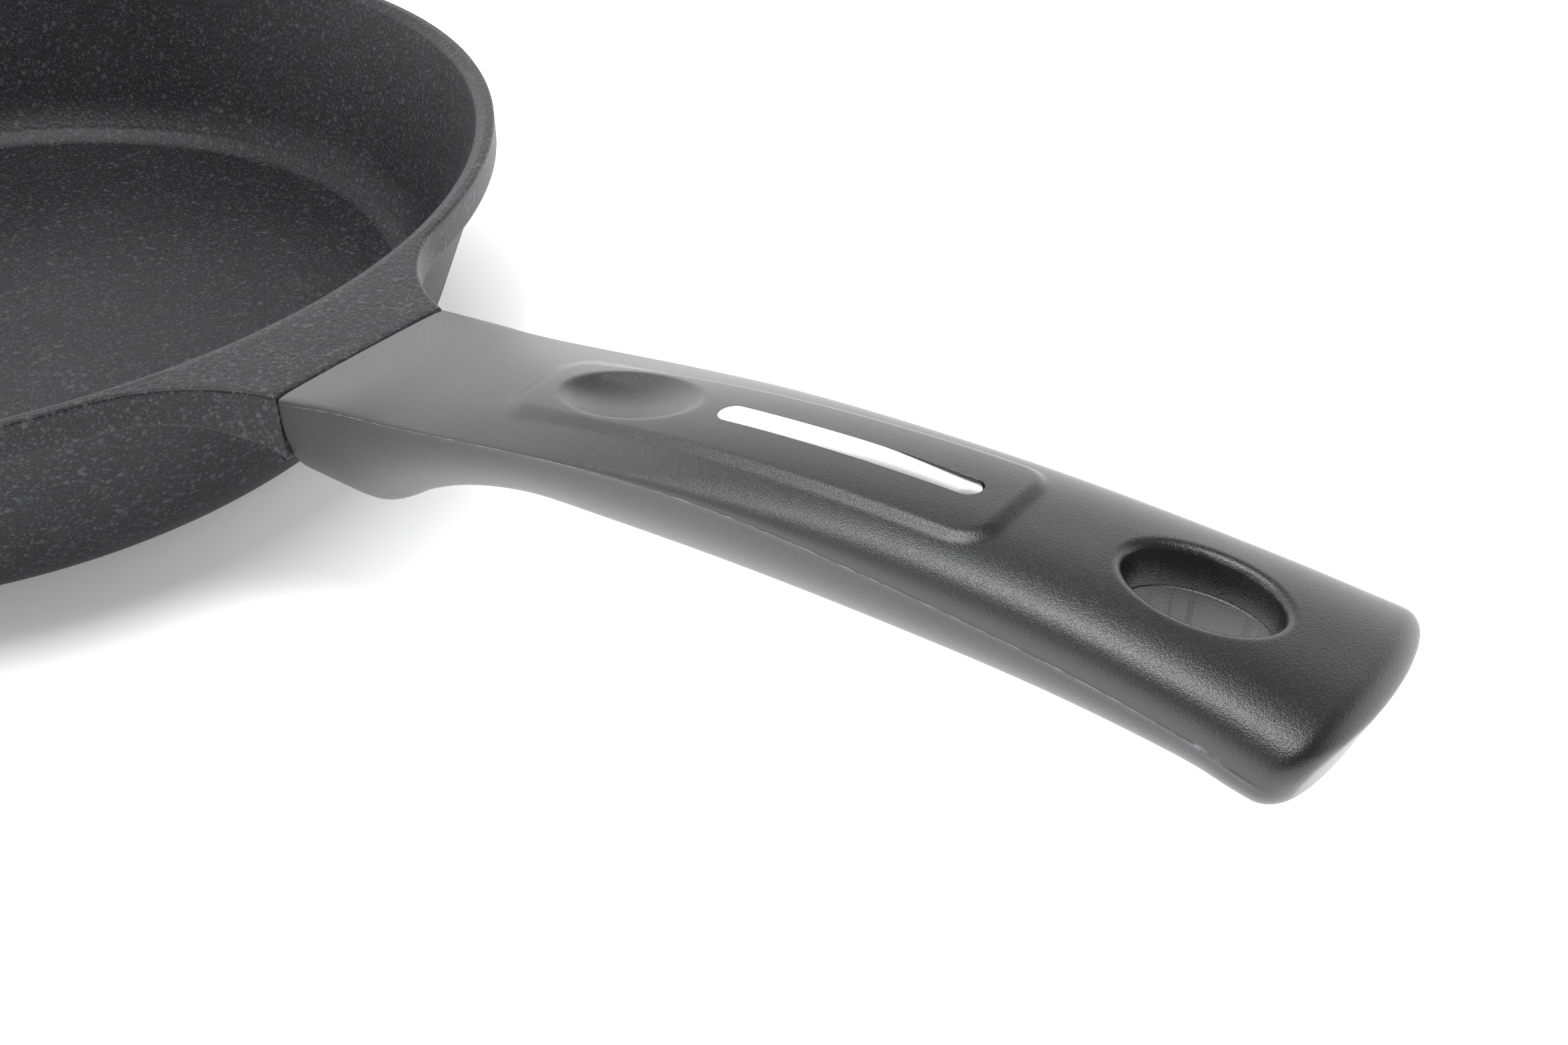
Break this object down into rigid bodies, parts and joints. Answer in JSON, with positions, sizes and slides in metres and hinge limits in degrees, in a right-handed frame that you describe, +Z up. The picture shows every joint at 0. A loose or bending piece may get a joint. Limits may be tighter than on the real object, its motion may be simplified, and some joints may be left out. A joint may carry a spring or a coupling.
{
  "type": "frying pan",
  "caption": "Round cast-aluminium frying pan with sloping sides and a long moulded phenolic handle screwed to a cast lug.",
  "frame": {"origin": "centre of the flat base face that stands on the hob", "axes": "+X from the pan's axis along the handle to its tip, +Z up along the pan's axis, out of the cooking hollow"},
  "size_m": [0.4731, 0.26, 0.0801],
  "materials": {
    "stone_coating": "dark speckled non-stick coating with a satin sheen",
    "phenolic": "fine-grained satin",
    "polished_steel": "mirror polished",
    "zinc_steel": "zinc plated"
  },
  "bodies": {
    "root": {"pan_body": "stone_coating", "handle": "phenolic", "handle_inlay": "polished_steel", "handle_screw": "zinc_steel", "spring_washer": "zinc_steel", "flat_washer": "zinc_steel"}
  },
  "joints": []
}
